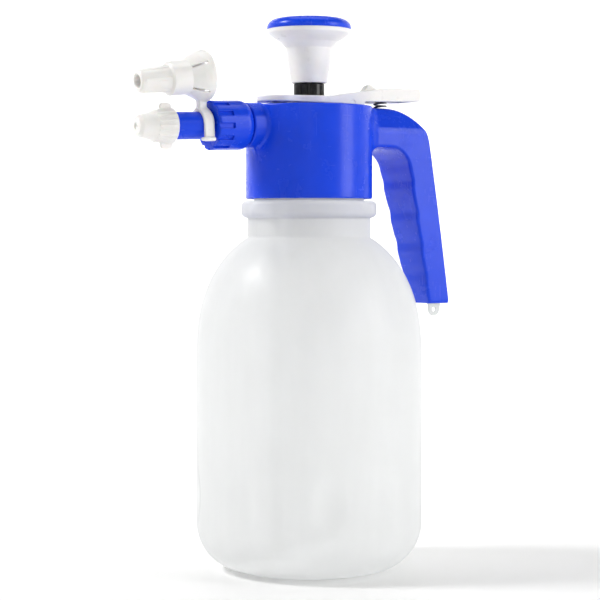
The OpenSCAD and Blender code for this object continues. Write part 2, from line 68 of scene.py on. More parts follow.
# ---------- Measures, in millimetres, that the pieces share ----------

TANK_HIGH = corners("tank")[1]
HEAD_LOW, HEAD_HIGH = corners("head_body")
TANK_R = TANK_HIGH[1]
LIP_Z = TANK_HIGH[2]
COLLAR_R = HEAD_HIGH[1]
COLLAR_Z = 208.4
RIM_Z = 260.3
DECK_Z = 258.8
PIVOT = np.array(joints["lever_press"]["pos_m"]) / MM
VALVE_X = -21.5
NOZZLE_AT = np.array(joints["nut_turn"]["pos_m"]) / MM
NOZZLE_DROOP = math.radians(2)
FOAM_AT = np.array([-66.4, 0, 275])
FOAM_DROOP = math.radians(6.9)
SPRING_X, SPRING_LOW, SPRING_HIGH = 48.0, 257.0, 269.2
VALVE_SPRING_LOW, VALVE_SPRING_HIGH = 241.0, 253.0


# ---------- Distance fields: negative inside, in millimetres ----------


def length(*parts):
    return np.sqrt(sum(part * part for part in parts))


def round_max(a, b, r):
    """The overlap of two shapes, with a rounded edge of radius r."""
    return np.minimum(np.maximum(a, b), -r) + length(np.maximum(a + r, 0), np.maximum(b + r, 0))


def round_min(a, b, r):
    """Two shapes joined, with a fillet of radius r."""
    return np.maximum(np.minimum(a, b), r) - length(np.maximum(r - a, 0), np.maximum(r - b, 0))


def bar(u, low, high):
    """The span between two parallel planes."""
    return np.abs(u - (low + high) / 2) - (high - low) / 2


def disc(rho, s, radius, low, high, r=0.4):
    """A round bar from low to high along s, with rounded rims."""
    return round_max(rho - radius, bar(s, low, high), r)


def inset(points, r):
    """The outline moved inwards by r at every edge."""
    points = np.array(points, float)
    before = points - np.roll(points, 1, axis=0)
    after = np.roll(points, -1, axis=0) - points
    area = np.sum(points[:, 0] * np.roll(points[:, 1], -1) - np.roll(points[:, 0], -1) * points[:, 1])
    turn = 1 if area > 0 else -1
    normals = []
    for edge in (before, after):
        unit = edge / np.linalg.norm(edge, axis=1)[:, None]
        normals.append(turn * np.stack([-unit[:, 1], unit[:, 0]], axis=1))
    share = 1 + np.sum(normals[0] * normals[1], axis=1)
    return points + (normals[0] + normals[1]) / share[:, None] * r


def outline(u, v, points, r=0.0):
    """A closed outline whose outer corners are rounded to radius r."""
    points = inset(points, r) if r else np.array(points, float)
    nearest = None
    inside = None
    for (ax, ay), (bx, by) in zip(points, np.roll(points, -1, axis=0)):
        ex, ey = bx - ax, by - ay
        wu, wv = u - ax, v - ay
        t = np.clip((wu * ex + wv * ey) / (ex * ex + ey * ey), 0, 1)
        gap = (wu - ex * t) ** 2 + (wv - ey * t) ** 2
        nearest = gap if nearest is None else np.minimum(nearest, gap)
        crossed = ((ay <= v) & (v < by)) | ((by <= v) & (v < ay))
        if ey:
            crossed = crossed & (wu < wv * ex / ey)
        inside = crossed if inside is None else inside ^ crossed
    distance = np.sqrt(nearest)
    return np.where(inside, -distance, distance) - r


def along(x, y, z, at, droop):
    """Distance along an axis that leaves `at` towards -X and droops, height above it, and radius from it."""
    dx, dz = x - at[0], z - at[2]
    s = -dx * math.cos(droop) - dz * math.sin(droop)
    up = -dx * math.sin(droop) + dz * math.cos(droop)
    return s, up, length(up, y - at[1])


def repeat(up, y, count, start=0.0):
    """Folds `count` equal sectors into the one along the first axis; gives (outward, sideways)."""
    rho = length(up, y)
    sector = 2 * math.pi / count
    angle = np.arctan2(y, up) - start
    angle = angle - sector * np.round(angle / sector)
    return rho * np.cos(angle), rho * np.sin(angle)


# ---------- Meshes from fields ----------

CORNERS = [(i, j, k) for i in (0, 1) for j in (0, 1) for k in (0, 1)]
EDGES = [
    (a, b)
    for a in CORNERS
    for b in CORNERS
    if sum(b) - sum(a) == 1 and all(q >= p for p, q in zip(a, b))
]
BLOCK = 4


def sample(field, low, cell, counts):
    """Field values on a grid, worked out in full only near the surface."""
    axes = [low[i] + cell * np.arange(counts[i] * BLOCK) for i in range(3)]
    middles = [low[i] + cell * (np.arange(counts[i]) * BLOCK + (BLOCK - 1) / 2) for i in range(3)]
    coarse = field(middles[0][:, None, None], middles[1][None, :, None], middles[2][None, None, :])
    near = np.abs(coarse) < cell * BLOCK * 1.3
    values = coarse.astype(np.float32)
    for axis in range(3):
        values = np.repeat(values, BLOCK, axis=axis)
        near = np.repeat(near, BLOCK, axis=axis)
    at = np.nonzero(near)
    values[at] = field(axes[0][at[0]], axes[1][at[1]], axes[2][at[2]])
    return values


def net(values):
    """Points, in grid cells, and four-sided faces of the surface where the values change sign."""
    inside = values < 0
    shape = np.array(values.shape) - 1
    total = sum(
        inside[i : i + shape[0], j : j + shape[1], k : k + shape[2]].astype(np.int8)
        for i, j, k in CORNERS
    )
    cells = np.argwhere((total > 0) & (total < 8))
    point_sum = np.zeros((len(cells), 3))
    crossings = np.zeros(len(cells))
    for a, b in EDGES:
        va = values[tuple((cells + a).T)]
        vb = values[tuple((cells + b).T)]
        cross = (va < 0) != (vb < 0)
        t = np.where(cross, va / np.where(cross, va - vb, 1), 0)[:, None]
        point_sum += np.where(cross[:, None], np.array(a) + (np.array(b) - np.array(a)) * t, 0)
        crossings += cross
    index = np.full(shape, -1, np.int64)
    index[tuple(cells.T)] = np.arange(len(cells))
    faces = []
    for d in range(3):
        u, v = np.eye(3, dtype=int)[(d + 1) % 3], np.eye(3, dtype=int)[(d + 2) % 3]
        start = inside[tuple(slice(0, n - 1 if i == d else n) for i, n in enumerate(values.shape))]
        end = inside[tuple(slice(1 if i == d else 0, n) for i, n in enumerate(values.shape))]
        at = np.argwhere(start != end)
        at = at[np.all(at - u - v >= 0, axis=1) & np.all(at < shape, axis=1)]
        quads = np.stack([index[tuple((at - o).T)] for o in (0 * u, u, u + v, v)], axis=1)
        flip = ~inside[tuple(at.T)]
        quads[flip] = quads[flip][:, ::-1]
        faces.append(quads)
    return cells + point_sum / crossings[:, None], np.concatenate(faces)


def slope(field, points, h=0.02):
    """Value and gradient of a field at points."""
    value = field(*points.T)
    gradient = np.empty_like(points)
    for axis in range(3):
        shift = np.zeros(3)
        shift[axis] = h
        ahead, behind = points + shift, points - shift
        gradient[:, axis] = (field(*ahead.T) - field(*behind.T)) / (2 * h)
    return value, gradient


def settle(field, points, reach, rounds):
    """Moves points on to the surface, never further than reach in one round."""
    for _ in range(rounds):
        value, gradient = slope(field, points)
        size = np.maximum(np.sum(gradient * gradient, axis=1), 0.3)
        move = np.clip(value / size, -reach, reach)
        points = points - gradient * move[:, None]
    return points


def spread(points, faces):
    """Moves each point half way to the middle of its neighbours, for even faces."""
    ends = np.concatenate([faces[:, [i, (i + 1) % 4]] for i in range(4)])
    count = np.bincount(ends[:, 0], minlength=len(points))
    total = np.stack(
        [np.bincount(ends[:, 0], points[ends[:, 1], i], len(points)) for i in range(3)], axis=1
    )
    return (points + total / np.maximum(count, 1)[:, None]) / 2


def finish_mesh(name, points, faces, normals=None):
    """A smooth object from points in millimetres."""
    mesh = bpy.data.meshes.new(name)
    mesh.from_pydata((np.asarray(points) * MM).tolist(), [], [list(map(int, face)) for face in faces])
    mesh.validate()
    mesh.shade_smooth()
    if normals is not None and len(mesh.vertices) == len(normals):
        mesh.normals_split_custom_set_from_vertices(normals.tolist())
    piece = bpy.data.objects.new(name, mesh)
    bpy.context.scene.collection.objects.link(piece)
    return piece


def shape(name, field, low, high, cell):
    """An object whose surface is where the field is zero."""
    low = np.array(low, float) - 2 * cell
    counts = np.ceil((np.array(high) + 2 * cell - low) / cell / BLOCK).astype(int)
    points, faces = net(sample(field, low, cell, counts))
    points = settle(field, low + cell * points, cell / 2, 3)
    for _ in range(2):
        points = settle(field, spread(points, faces), cell / 2, 1)
    points = settle(field, points, cell / 2, 2)
    _, gradient = slope(field, points)
    normals = gradient / np.maximum(np.linalg.norm(gradient, axis=1), 1e-6)[:, None]
    return finish_mesh(name, points, faces, normals)


# ---------- Turned meshes ----------


def rounded_path(points, step=12):
    """Points (r, z, corner radius) turned into a path with an arc at each rounded corner."""
    path = []
    for i, (r, z, radius) in enumerate(points):
        here = np.array([r, z], float)
        if radius and 0 < i < len(points) - 1:
            back = np.array(points[i - 1][:2]) - here
            on = np.array(points[i + 1][:2]) - here
            back, on = back / np.linalg.norm(back), on / np.linalg.norm(on)
            half = math.acos(np.clip(back @ on, -1, 1)) / 2
            middle = here + (back + on) / np.linalg.norm(back + on) * radius / math.sin(half)
            first = here + back * radius / math.tan(half) - middle
            last = here + on * radius / math.tan(half) - middle
            sweep = math.atan2(first[0] * last[1] - first[1] * last[0], first @ last)
            count = max(3, int(abs(math.degrees(sweep)) / step))
            for k in range(count + 1):
                a = sweep * k / count
                spin = np.array([[math.cos(a), -math.sin(a)], [math.sin(a), math.cos(a)]])
                path.append(middle + spin @ first)
        else:
            path.append(here)
    return np.array(path)


def turned(name, path, angles=128, warp=None, place=None):
    """A path of (r, z) turned round Z. warp gives each point its radius; place moves the points."""
    if isinstance(angles, int):
        angles = np.arange(angles) * 2 * math.pi / angles
    path = np.asarray(path, float)
    closed = path[0, 0] > 1e-6
    radius = path[:, 0][:, None] + 0 * angles[None, :]
    height = path[:, 1][:, None] + 0 * angles[None, :]
    if warp:
        radius = warp(radius, height, angles[None, :] + 0 * radius)
    grid = np.stack([radius * np.cos(angles), radius * np.sin(angles), height], axis=2)
    rows, columns = radius.shape
    number = np.arange(rows * columns).reshape(rows, columns)
    points = grid.reshape(-1, 3)
    after = np.roll(number, -1, axis=1)
    quads = np.stack([number[:-1], after[:-1], after[1:], number[1:]], axis=2).reshape(-1, 4).tolist()
    if closed:
        quads += np.stack([number[-1], after[-1], after[0], number[0]], axis=1).tolist()
    for row in (0, rows - 1):
        if path[row, 0] <= 1e-6:
            pole = number[row, 0]
            swap = set(number[row].tolist())
            kept = []
            for quad in quads:
                face = [pole if q in swap else q for q in quad]
                face = [q for i, q in enumerate(face) if q != face[i - 1]]
                kept.append(face)
            quads = kept
    used = np.zeros(len(points), bool)
    used[[q for face in quads for q in face]] = True
    renumber = np.cumsum(used) - 1
    points = points[used]
    quads = [[int(renumber[q]) for q in face] for face in quads if len(face) > 2]
    if place:
        points = place(points)
    return finish_mesh(name, points, quads)


def on_nozzle(points):
    """Points drawn round Z, laid along the nozzle's axis."""
    c, s = math.cos(NOZZLE_DROOP), math.sin(NOZZLE_DROOP)
    outward = np.array([-c, 0, -s])
    up = np.array([-s, 0, c])
    side = np.array([0, 1, 0])
    return NOZZLE_AT + points[:, [0]] * up + points[:, [1]] * side + points[:, [2]] * outward


def tube_path(name, centres, radius, sides=10):
    """A wire of round section along a list of points, closed at both ends."""
    centres = np.array(centres, float)
    ahead = np.gradient(centres, axis=0)
    ahead /= np.linalg.norm(ahead, axis=1)[:, None]
    side = np.cross(ahead, [0, 0, 1.0])
    side /= np.linalg.norm(side, axis=1)[:, None]
    up = np.cross(side, ahead)
    turn = np.arange(sides) * 2 * math.pi / sides
    rings = (
        centres[:, None, :]
        + radius * np.cos(turn)[None, :, None] * side[:, None, :]
        + radius * np.sin(turn)[None, :, None] * up[:, None, :]
    )
    number = np.arange(len(centres) * sides).reshape(len(centres), sides)
    after = np.roll(number, -1, axis=1)
    faces = np.stack([number[:-1], after[:-1], after[1:], number[1:]], axis=2).reshape(-1, 4).tolist()
    faces += [number[0][::-1].tolist(), number[-1].tolist()]
    return finish_mesh(name, rings.reshape(-1, 3), faces)


# ---------- Bottle ----------


def bottle():
    """The blown bottle: superellipse shoulder, beaded neck, thread, low dimples and mould seam."""
    wall = 1.8
    fillet = 27.0
    foot = TANK_R - fillet
    shoulder_z, rise, power = 121.0, 74.5, 2.3
    neck, bead, root, mouth = 34.4, 38.0, 30.8, 28.3
    pitch, thread_z, turns, depth = 5.0, 212.5, 1.75, 1.8

    def arc(cx, cz, r, a0, a1, count):
        angles = np.radians(np.linspace(a0, a1, count + 1))
        return np.stack([cx + r * np.cos(angles), cz + r * np.sin(angles)], axis=1)

    def shoulder(a, b, end):
        last = math.acos((end / a) ** (power / 2))
        t = np.linspace(0, last, 60)
        return np.stack([a * np.cos(t) ** (2 / power), shoulder_z + b * np.sin(t) ** (2 / power)], axis=1)

    def column(r, z0, z1, step):
        z = np.arange(z0, z1, step)
        return np.stack([r + 0 * z, z], axis=1)

    base = rounded_path([(0, 3, 0), (25.5, 2.6, 1.5), (28, 0, 1.0), (foot, 0, 0)], 15)
    neck_top = rounded_path(
        [
            (neck, 188, 0),
            (neck, 197.7, 1.2),
            (bead, 198.6, 3.2),
            (bead, 207.2, 2.6),
            (root, 207.2, 0.5),
            (root, 209.5, 0),
        ],
        9,
    )
    lip = rounded_path(
        [(root, LIP_Z - 1.5, 0), (root, LIP_Z, 0.6), (mouth, LIP_Z, 0.6), (mouth, LIP_Z - 1.5, 0)], 15
    )
    outside = np.concatenate(
        [
            base,
            arc(foot, fillet, fillet, -90, 0, 40)[1:],
            column(TANK_R, fillet + 1.2, shoulder_z - 0.5, 1.4),
            shoulder(TANK_R, rise, neck),
            neck_top,
            column(root, 209.8, LIP_Z - 1.7, 0.25),
            lip,
        ]
    )
    inside = np.concatenate(
        [
            rounded_path(
                [(mouth, 215, 0), (mouth, 206.2, 2.0), (neck - wall, 200, 2.0), (neck - wall, 189, 0)]
            ),
            shoulder(TANK_R - wall, rise - wall, neck - wall)[::-1],
            column(TANK_R - wall, fillet + 1.2, shoulder_z - 0.5, 1.4)[::-1],
            arc(foot, fillet, fillet - wall, 0, -90, 40),
            [(27.5, wall), (25.5, wall + 2.2), (0, 3 + wall)],
        ]
    )
    path = np.concatenate([outside, inside])
    outer_count = len(outside)
    seams = np.array([-1.2, -0.6, -0.3, 0, 0.3, 0.6, 1.2]) / TANK_R
    angles = np.arange(320) * 2 * math.pi / 320
    angles = angles[np.min(np.abs((angles[:, None] + 1.6) % math.pi - 1.6), axis=1) > 0.022]
    angles = np.sort(np.concatenate([angles, seams % (2 * math.pi), seams + math.pi]))

    def warp(r, z, a):
        outer = (np.arange(len(r)) < outer_count)[:, None]
        sector = a - math.pi / 8
        sector = sector - math.pi / 4 * np.round(sector / (math.pi / 4))
        oval = (sector * TANK_R / 11.5) ** 2 + ((z - 43) / 19) ** 2
        dimple = 1.5 * np.clip(1 - oval, 0, 1) ** 2 * (r > 50)
        turned_by = (z - thread_z) / pitch - a / (2 * math.pi)
        nearest = np.round(turned_by)
        wound = nearest + a / (2 * math.pi)
        offset = np.abs(turned_by - nearest) * pitch
        fade = np.clip(np.minimum(wound, turns - wound) * 9 + 0.5, 0, 1)
        threaded = outer * (z > 209) * (z < LIP_Z - 1.5)
        ridge = depth * fade * np.clip((1.15 - offset) / 0.55, 0, 1) * threaded
        across = np.abs((a + math.pi / 2) % math.pi - math.pi / 2) * r
        seam = 0.16 * np.clip(1 - across / 0.45, 0, 1) * outer * (z > 1.5) * (z < 207)
        return r - dimple + ridge + seam * (r > 30)

    return turned("bottle", path, angles, warp)


# ---------- Head ----------


def grip_face(z):
    """How far behind the pump axis the finger side of the handle lies, with a hollow for each finger."""
    phase = 2 * math.pi * (z - HEAD_LOW[2]) / 18
    fade = np.clip((227 - z) / 8, 0, 1)
    return 64.1 + (200 - z) * 0.222 + (0.35 * np.cos(phase) + 0.12 * np.cos(2 * phase + 0.6)) * fade


def head_field(x, y, z):
    """Collar, nozzle boss, bridge and hollow handle, moulded as one."""
    rho = length(x, y)
    collar = disc(rho, z, COLLAR_R, COLLAR_Z, RIM_Z, 0.9)

    upper_palm = (x - 81.2) * 0.9737 + (z - 200) * 0.2278
    lower_palm = (x - 84.7) * 0.9867 + (z - 185) * 0.1623
    profile = round_max(z - 260.0, round_max(upper_palm, lower_palm, 6), 20)
    profile = np.maximum(profile, bar(x, 20, 90.3))
    profile = round_max(profile, HEAD_LOW[2] - z, 1.6)
    gap = round_max(z - 237.8, x - grip_face(z), 11)
    profile = round_max(profile, -gap, 0.5)
    half_w = 14.4 + (z - 200) * 0.07
    bevel = 0.87 * (np.abs(y) - 17.75) + 0.493 * (z - 247.5)
    side = round_max(np.abs(y) - half_w, bevel, 1.2)
    handle = round_max(profile, side, 1.6)
    head = round_min(collar, handle, 5.0)
    head = np.maximum(head, z - RIM_Z)

    s, _, radius = along(x, y, z, NOZZLE_AT, NOZZLE_DROOP)
    boss = disc(radius, s, 12.4, -12, 7, 0.7)
    web = np.maximum(np.abs(y) - 1.8, (-x - COLLAR_R) + (240 - z) * 0.42 - 3.0)
    web = np.maximum(web, bar(z, 221, 242))
    head = round_min(head, boss, 1.6)
    head = round_min(head, np.maximum(web, bar(x, -44, -30)), 0.8)
    spigot = disc(radius, s, 10.45, 0, 22.9, 0.5)
    head = np.minimum(head, spigot)

    bore = disc(rho, z, 33.0, COLLAR_Z - 5, 232.5, 0.3)
    cavity = disc(rho, z, 29.0, 228, DECK_Z - 3, 1.5)
    recess = disc(rho, z, 34.0, DECK_Z, RIM_Z + 5, 0.4)
    head = round_max(head, -np.minimum(bore, cavity), 0.5)
    head = round_max(head, -recess, 0.4)

    valve = length(x - VALVE_X, y)
    socket = disc(rho, z, 15.3, 232.5, DECK_Z - 1, 0.5)
    chamber = disc(valve, z, 6.3, 230.2, DECK_Z - 1, 0.4)
    spout = disc(valve, z, 4.8, 214, 236, 0.4)
    feed = np.maximum(radius - 5.2, bar(s, -13, -3))
    lug_side = length(x - PIVOT[0], np.maximum(z - PIVOT[2], 0)) - 3.2
    lug = round_max(np.abs(y) - 8.5, np.maximum(lug_side, DECK_Z - 1 - z), 0.5)
    for part in (socket, chamber, spout, feed, lug):
        head = np.minimum(head, part)

    hollow_side = [
        [78.4, 140],
        [87.6, 140],
        [87.6, 148.4],
        [81.4, 185],
        [71.3, 228],
        [61.6, 228],
        [78.4, 148.4],
    ]
    hollow = np.maximum(outline(x, z, hollow_side, 0.5), np.abs(y) - 9)
    spring_seat = disc(length(x - SPRING_X, y), z, 5.0, SPRING_LOW, 270, 0.3)
    barrel_hole = disc(rho, z, 13.03, 225, 270, 0.2)
    gland_hole = disc(valve, z, 4.62, 237, 270, 0.2)
    spout_hole = disc(valve, z, 3.5, 205, 230, 0.2)
    feed_hole = np.maximum(radius - 3, bar(s, -10, 30))
    holes = hollow
    for hole in (barrel_hole, gland_hole, spout_hole, feed_hole, spring_seat):
        holes = np.minimum(holes, hole)
    return round_max(head, -holes, 0.35)


def head():
    return shape("head", head_field, HEAD_LOW - 1, HEAD_HIGH + 1, 0.62)


def tab_field(x, y, z):
    """The plug in the handle's end, with its hanging eyelet."""
    plate = outline(x, z, [[78.45, 148.45], [87.55, 148.45], [86.85, 152.4], [77.65, 152.4]], 0.3)
    plate = round_max(plate, np.abs(y) - 8.9, 0.4)
    eye = length(x - 81.6, z - 144.9)
    neck = np.maximum(np.abs(x - 81.8) - 3.7 - np.clip(z - 145.5, 0, 3) * 0.2, bar(z, 144.9, 149.5))
    tab = round_min(eye - 3.7, neck, 0.5)
    tab = round_max(np.maximum(tab, -(eye - 1.4)), np.abs(y + 6.2) - 0.8, 0.25)
    return round_min(plate, tab, 0.4)


def handle_plug():
    low, high = corners("handle_plug")
    return shape("handle_plug_tab", tab_field, low, high, 0.28)


# ---------- Lever ----------

LEVER_SIDE = [
    [-33, 262],
    [-33, 264.9],
    [-31, 265.5],
    [8, 265.8],
    [18, 267.8],
    [26.2, 268.7],
    [41, 271],
    [67.3, 271.8],
    [69.2, 270.2],
    [69.2, 264.8],
    [40, 263.7],
    [31, 263.4],
    [29, 259.8],
    [15.3, 259.8],
    [15.3, 262],
]


def lever_field(x, y, z):
    """Nose over the valve, ring round the pump collar, ridge and hollow thumb pad."""
    nose = length(x + 20.3, y) - 12
    ring = length(x, y) - 13.5
    beam = round_max(np.abs(y) - 11.5, bar(x, -20.3, 69.2), 1.6)
    plan = round_min(np.minimum(nose, beam), ring, 4)
    side = outline(x, z, LEVER_SIDE, 0.35)
    body = round_max(plan, side, 0.7)
    ridge_side = [[33.4, 267.8], [35.2, 270], [38.3, 273.7], [40.7, 273.7], [45, 271], [46.8, 269.4]]
    ridge = round_max(outline(x, z, ridge_side, 0.6), np.abs(y) - 2.6, 0.7)
    body = round_min(body, ridge, 0.8)
    roof = np.interp(x, [13.5, 19, 28, 40.8], [264.4, 266.2, 267, 269.2])
    under = round_max(np.maximum(np.abs(y) - 9.4, bar(x, 13.6, 67)), z - roof, 0.6)
    body = round_max(body, -under, 0.3)
    post = disc(length(x - SPRING_X, y), z, 2.3, 266, 270.5, 0.3)
    body = np.minimum(body, post)
    valve = length(x - VALVE_X, y)
    holes = np.minimum(length(x, y) - 10.5, np.minimum(valve - 2.6, np.maximum(valve - 4.4, 263.4 - z)))
    pin = length(x - PIVOT[0], z - PIVOT[2]) - 1.55
    return round_max(body, -np.minimum(holes, pin), 0.3)


def lever():
    low, high = corners("lever")
    return shape("thumb_lever", lever_field, low - 0.5, high + 0.5, 0.36)


def valve_stem():
    path = rounded_path(
        [
            (0, 239, 0),
            (3.6, 239, 0.3),
            (3.6, 241, 0.3),
            (2, 241, 0),
            (2, 263.9, 0),
            (3.9, 263.9, 0.2),
            (3.9, 265.3, 0.5),
            (0, 265.3, 0),
        ]
    )
    return turned("valve_stem_turned", path, 48, place=lambda p: p + [VALVE_X, 0, 0])


def coil(name, x, low_z, high_z, radius, wire, turns):
    """A compression spring with closed end turns."""
    closed, end_pitch = 0.8, 1.6 * wire
    t = np.linspace(0, turns, turns * 28 + 1)
    ease = np.clip((t - closed) / (turns - 2 * closed), 0, 1)
    ends = end_pitch * (np.clip(t, 0, closed) + np.clip(t - turns + closed, 0, closed))
    z = low_z + wire + ends + (high_z - low_z - 2 * wire - 2 * end_pitch * closed) * ease
    angle = 2 * math.pi * t
    centres = np.stack([x + radius * np.cos(angle), radius * np.sin(angle), z], axis=1)
    return tube_path(name, centres, wire)


# ---------- Pump ----------


def gland_field(x, y, z):
    """The black collar that guides the rod, with two spanner slots."""
    rho = length(x, y)
    body = np.minimum(disc(rho, z, 8.7, 255, 273, 0.8), disc(rho, z, 11.18, 243, 260.8, 0.3))
    angle = math.radians(58)
    across = -x * math.sin(angle) + y * math.cos(angle)
    slot = np.maximum(np.maximum(np.abs(across) - 1.0, 264 - z), 6.8 - rho)
    body = round_max(body, -slot, 0.25)
    return round_max(body, -(rho - 5.56), 0.3)


def pump_gland():
    low, high = corners("pump_gland")
    return shape("pump_collar", gland_field, low, high, 0.3)


def knob_body():
    """The funnel under the palm cap, with the socket that takes the rod."""
    path = rounded_path(
        [
            (5.5, 273.2, 0.3),
            (10.3, 273.2, 0.6),
            (13.2, 292.8, 1.5),
            (15.9, 296.2, 3.0),
            (20.0, 298.6, 5.0),
            (22.9, 301.0, 1.8),
            (23.5, 303.2, 0.2),
            (21.2, 303.2, 0.2),
            (18.8, 301.2, 2.0),
            (14.4, 299.2, 2.0),
            (11.6, 294.5, 4.0),
            (8.9, 276.2, 0.5),
            (7.5, 276.2, 0.3),
            (7.5, 299, 0.3),
            (5.5, 299, 0.3),
        ],
        8,
    )
    return turned("knob_funnel", path, 160)


def knob_cap():
    """The palm cap: a low crown with a full round shoulder."""
    under = [(0, 307.6), (12, 307.4), (17, 306.6), (20.4, 305.0), (21.2, 304.2), (21.2, 303.25)]
    rim = [(21.3, 303.2), (23.2, 303.2), (23.45, 303.3), (23.58, 303.6)]
    angles = np.radians(np.linspace(2, 90, 20))
    shoulder = [(23.6 - 7.5 + 7.5 * math.cos(a), 304.4 + 5.0 * math.sin(a)) for a in angles]
    crown = [(r, 310.0 - 0.6 * (r / 16.1) ** 2) for r in (15, 13, 11, 9, 7, 5, 3, 1.5, 0)]
    return turned("knob_palm_cap", under + rim + shoulder + crown, 160)


def pump_rod():
    path = rounded_path([(3.7, 140, 0), (5.5, 140, 0.3), (5.5, 298, 0.3), (3.7, 298, 0)])
    return turned("pump_rod_tube", path, 64)


# ---------- Nozzle ----------


def nut_field(x, y, z):
    """The swivel nut: a plain band behind and twelve raised pads in front."""
    s, up, radius = along(x, y, z, NOZZLE_AT, NOZZLE_DROOP)
    body = disc(radius, s, 13.6, 7.6, 29.3, 0.9)
    body = round_max(body, 0.873 * (radius - 12.2) - 0.489 * (s - 7.6), 0.8)
    outward, sideways = repeat(up, y, 12, math.radians(15 + 12.2))
    notch = np.maximum(np.maximum(12.4 - outward, np.abs(sideways) - 1.35), 20.3 - s)
    body = round_max(body, -notch, 0.3)
    front = np.maximum(radius - 7.8, -1)
    bore = np.minimum(np.maximum(radius - 10.56, s - 26.8), front)
    return round_max(body, -bore, 0.35)


def swivel_nut():
    low, high = corners("swivel_nut")
    return shape("swivel_nut_ribbed", nut_field, low, high, 0.3)


def nozzle_tube():
    path = rounded_path(
        [
            (3.5, 24.4, 0.2),
            (9.8, 24.4, 0.3),
            (9.8, 26.8, 0.3),
            (7.5, 26.8, 0.3),
            (7.5, 51.8, 0.4),
            (6, 51.8, 0.2),
            (6, 63.8, 0.3),
            (3.5, 63.8, 0.2),
        ]
    )
    return turned("nozzle_tube_turned", path, 96, place=on_nozzle)


def cap_field(x, y, z):
    """The adjustable nozzle: a ribbed cone with two finger wings."""
    s, up, radius = along(x, y, z, NOZZLE_AT, NOZZLE_DROOP)
    cone = [
        [-20, 52],
        [9.4, 52],
        [9.4, 55.2],
        [8.4, 62.2],
        [6.7, 68.6],
        [6.2, 71.6],
        [4.8, 73.5],
        [3, 73.9],
        [-20, 73.9],
    ]
    body = outline(radius, s, cone, 0.7)
    ribs, sideways = repeat(up, y, 20)
    rib = round_max(np.abs(sideways) - 0.45, ribs - (9.4 - np.clip(s - 55.2, 0, 20) * 0.14 + 0.35), 0.2)
    rib = np.maximum(np.maximum(rib, bar(s, 52.4, 63.3)), 6.5 - radius)
    body = round_min(body, rib, 0.4)
    wing = round_max(np.abs(up) - 12.6 + np.abs(s - 56.0) * 0.12, bar(s, 52.5, 59.5), 1.8)
    wing = round_max(wing, np.abs(y) - 1.1, 0.4)
    body = round_min(body, wing, 0.8)
    core = np.minimum(disc(radius, s, 6.05, 40, 64.8, 0.2), disc(radius, s, 5.0, 63.8, 67.4, 0.5))
    hole = np.minimum(radius - 0.8, np.maximum(radius - 1.8, 73.1 - s))
    return round_max(body, -np.minimum(core, hole), 0.25)


def nozzle_cap():
    low, high = corners("nozzle_cap")
    return shape("nozzle_cap_winged", cap_field, low - 0.3, high + 0.3, 0.28)


def foam_field(x, y, z):
    """The foam nozzle with its slotted skirt, and the clip that parks it on the nozzle tube."""
    s, up, radius = along(x, y, z, FOAM_AT, FOAM_DROOP)
    skin = [
        [-20, 0.0],
        [13.6, 0.0],
        [14.2, 1.2],
        [13.9, 3.4],
        [12.8, 6.6],
        [10.8, 10.4],
        [9.5, 12.6],
        [9.2, 23.2],
        [7.7, 24.2],
        [7.3, 26.4],
        [6.5, 39.6],
        [6.0, 41.0],
        [4.9, 41.8],
        [-20, 41.8],
    ]
    body = outline(radius, s, skin, 0.45)
    flats, sideways = repeat(up, y, 6, math.radians(30))
    rib = round_max(np.abs(sideways) - 0.9, flats - (7.85 - (s - 24) * 0.075), 0.3)
    rib = np.maximum(np.maximum(rib, bar(s, 23.5, 39.5)), 5.5 - radius)
    body = round_min(body, rib, 0.4)
    pocket = [[8.2, 2], [8.2, 10.5], [9.6, 10.5], [11.5, 7.6], [12.4, 3.4], [12.4, -2], [-20, -2], [-20, 2]]
    pocket = outline(radius, s, pocket, 0.4)
    socket = np.minimum(disc(radius, s, 6.3, -2, 14, 0.4), disc(radius, s, 5.2, 13, 33.5, 0.4))
    flare = np.maximum(radius - 3.5 - np.clip(s - 41.2, 0, 2) * 0.8, 40 - s)
    mouth = np.minimum(disc(radius, s, 3.5, 30, 50, 0.3), flare)
    tongue, sideways = repeat(up, y, 5, math.radians(12))
    slot = round_max(bar(s, 3.8, 12.2), np.abs(sideways) - 0.7, 0.5)
    slot = np.maximum(slot, 8.7 - tongue)
    body = round_max(body, -np.minimum(np.minimum(pocket, socket), np.minimum(mouth, slot)), 0.3)

    n, n_up, n_radius = along(x, y, z, NOZZLE_AT, NOZZLE_DROOP)
    leg_end = np.where(y < 0, -8.6, -5.6)
    leg = np.maximum(np.abs(y) - 9.35, bar(n_up, leg_end, 0))
    foot = round_max(np.abs(y) - 10.2, bar(n_up, leg_end, leg_end + 1.7), 0.5)
    clip = round_max(np.minimum(np.minimum(n_radius - 9.35, leg), foot), bar(n, 30.7, 36.7), 0.5)
    lip = round_max(round_max(bar(y, -10.2, -6), bar(n_up, -8.6, -6.6), 0.6), bar(n, 30.7, 38.7), 1.0)
    hole = np.minimum(n_radius - 7.55, np.maximum(np.abs(y) - 7.55, n_up))
    clip = round_max(round_min(clip, lip, 0.6), -hole, 0.4)
    arm = round_max(bar(x, -71.2, -66.6), np.abs(y) - 2.2, 0.6)
    arm = np.maximum(arm, bar(z, 256, 266))
    arm = np.maximum(arm, np.maximum(8.9 - radius, 7.6 - n_radius))
    return round_min(body, round_min(clip, arm, 1.5), 1.2)


def foam_nozzle():
    low, high = corners("foam_nozzle")
    return shape("foam_nozzle_moulded", foam_field, low - 0.3, high + 0.3, 0.3)


# ---------- Materials ----------

RECORD = frame["record"]
SLOT_OF = {row["node"]: row["material_slot"] for row in RECORD["subparts"]}
BODY_OF = {node: body for body, members in RECORD["behaviour"]["bodies"].items() for node in members}


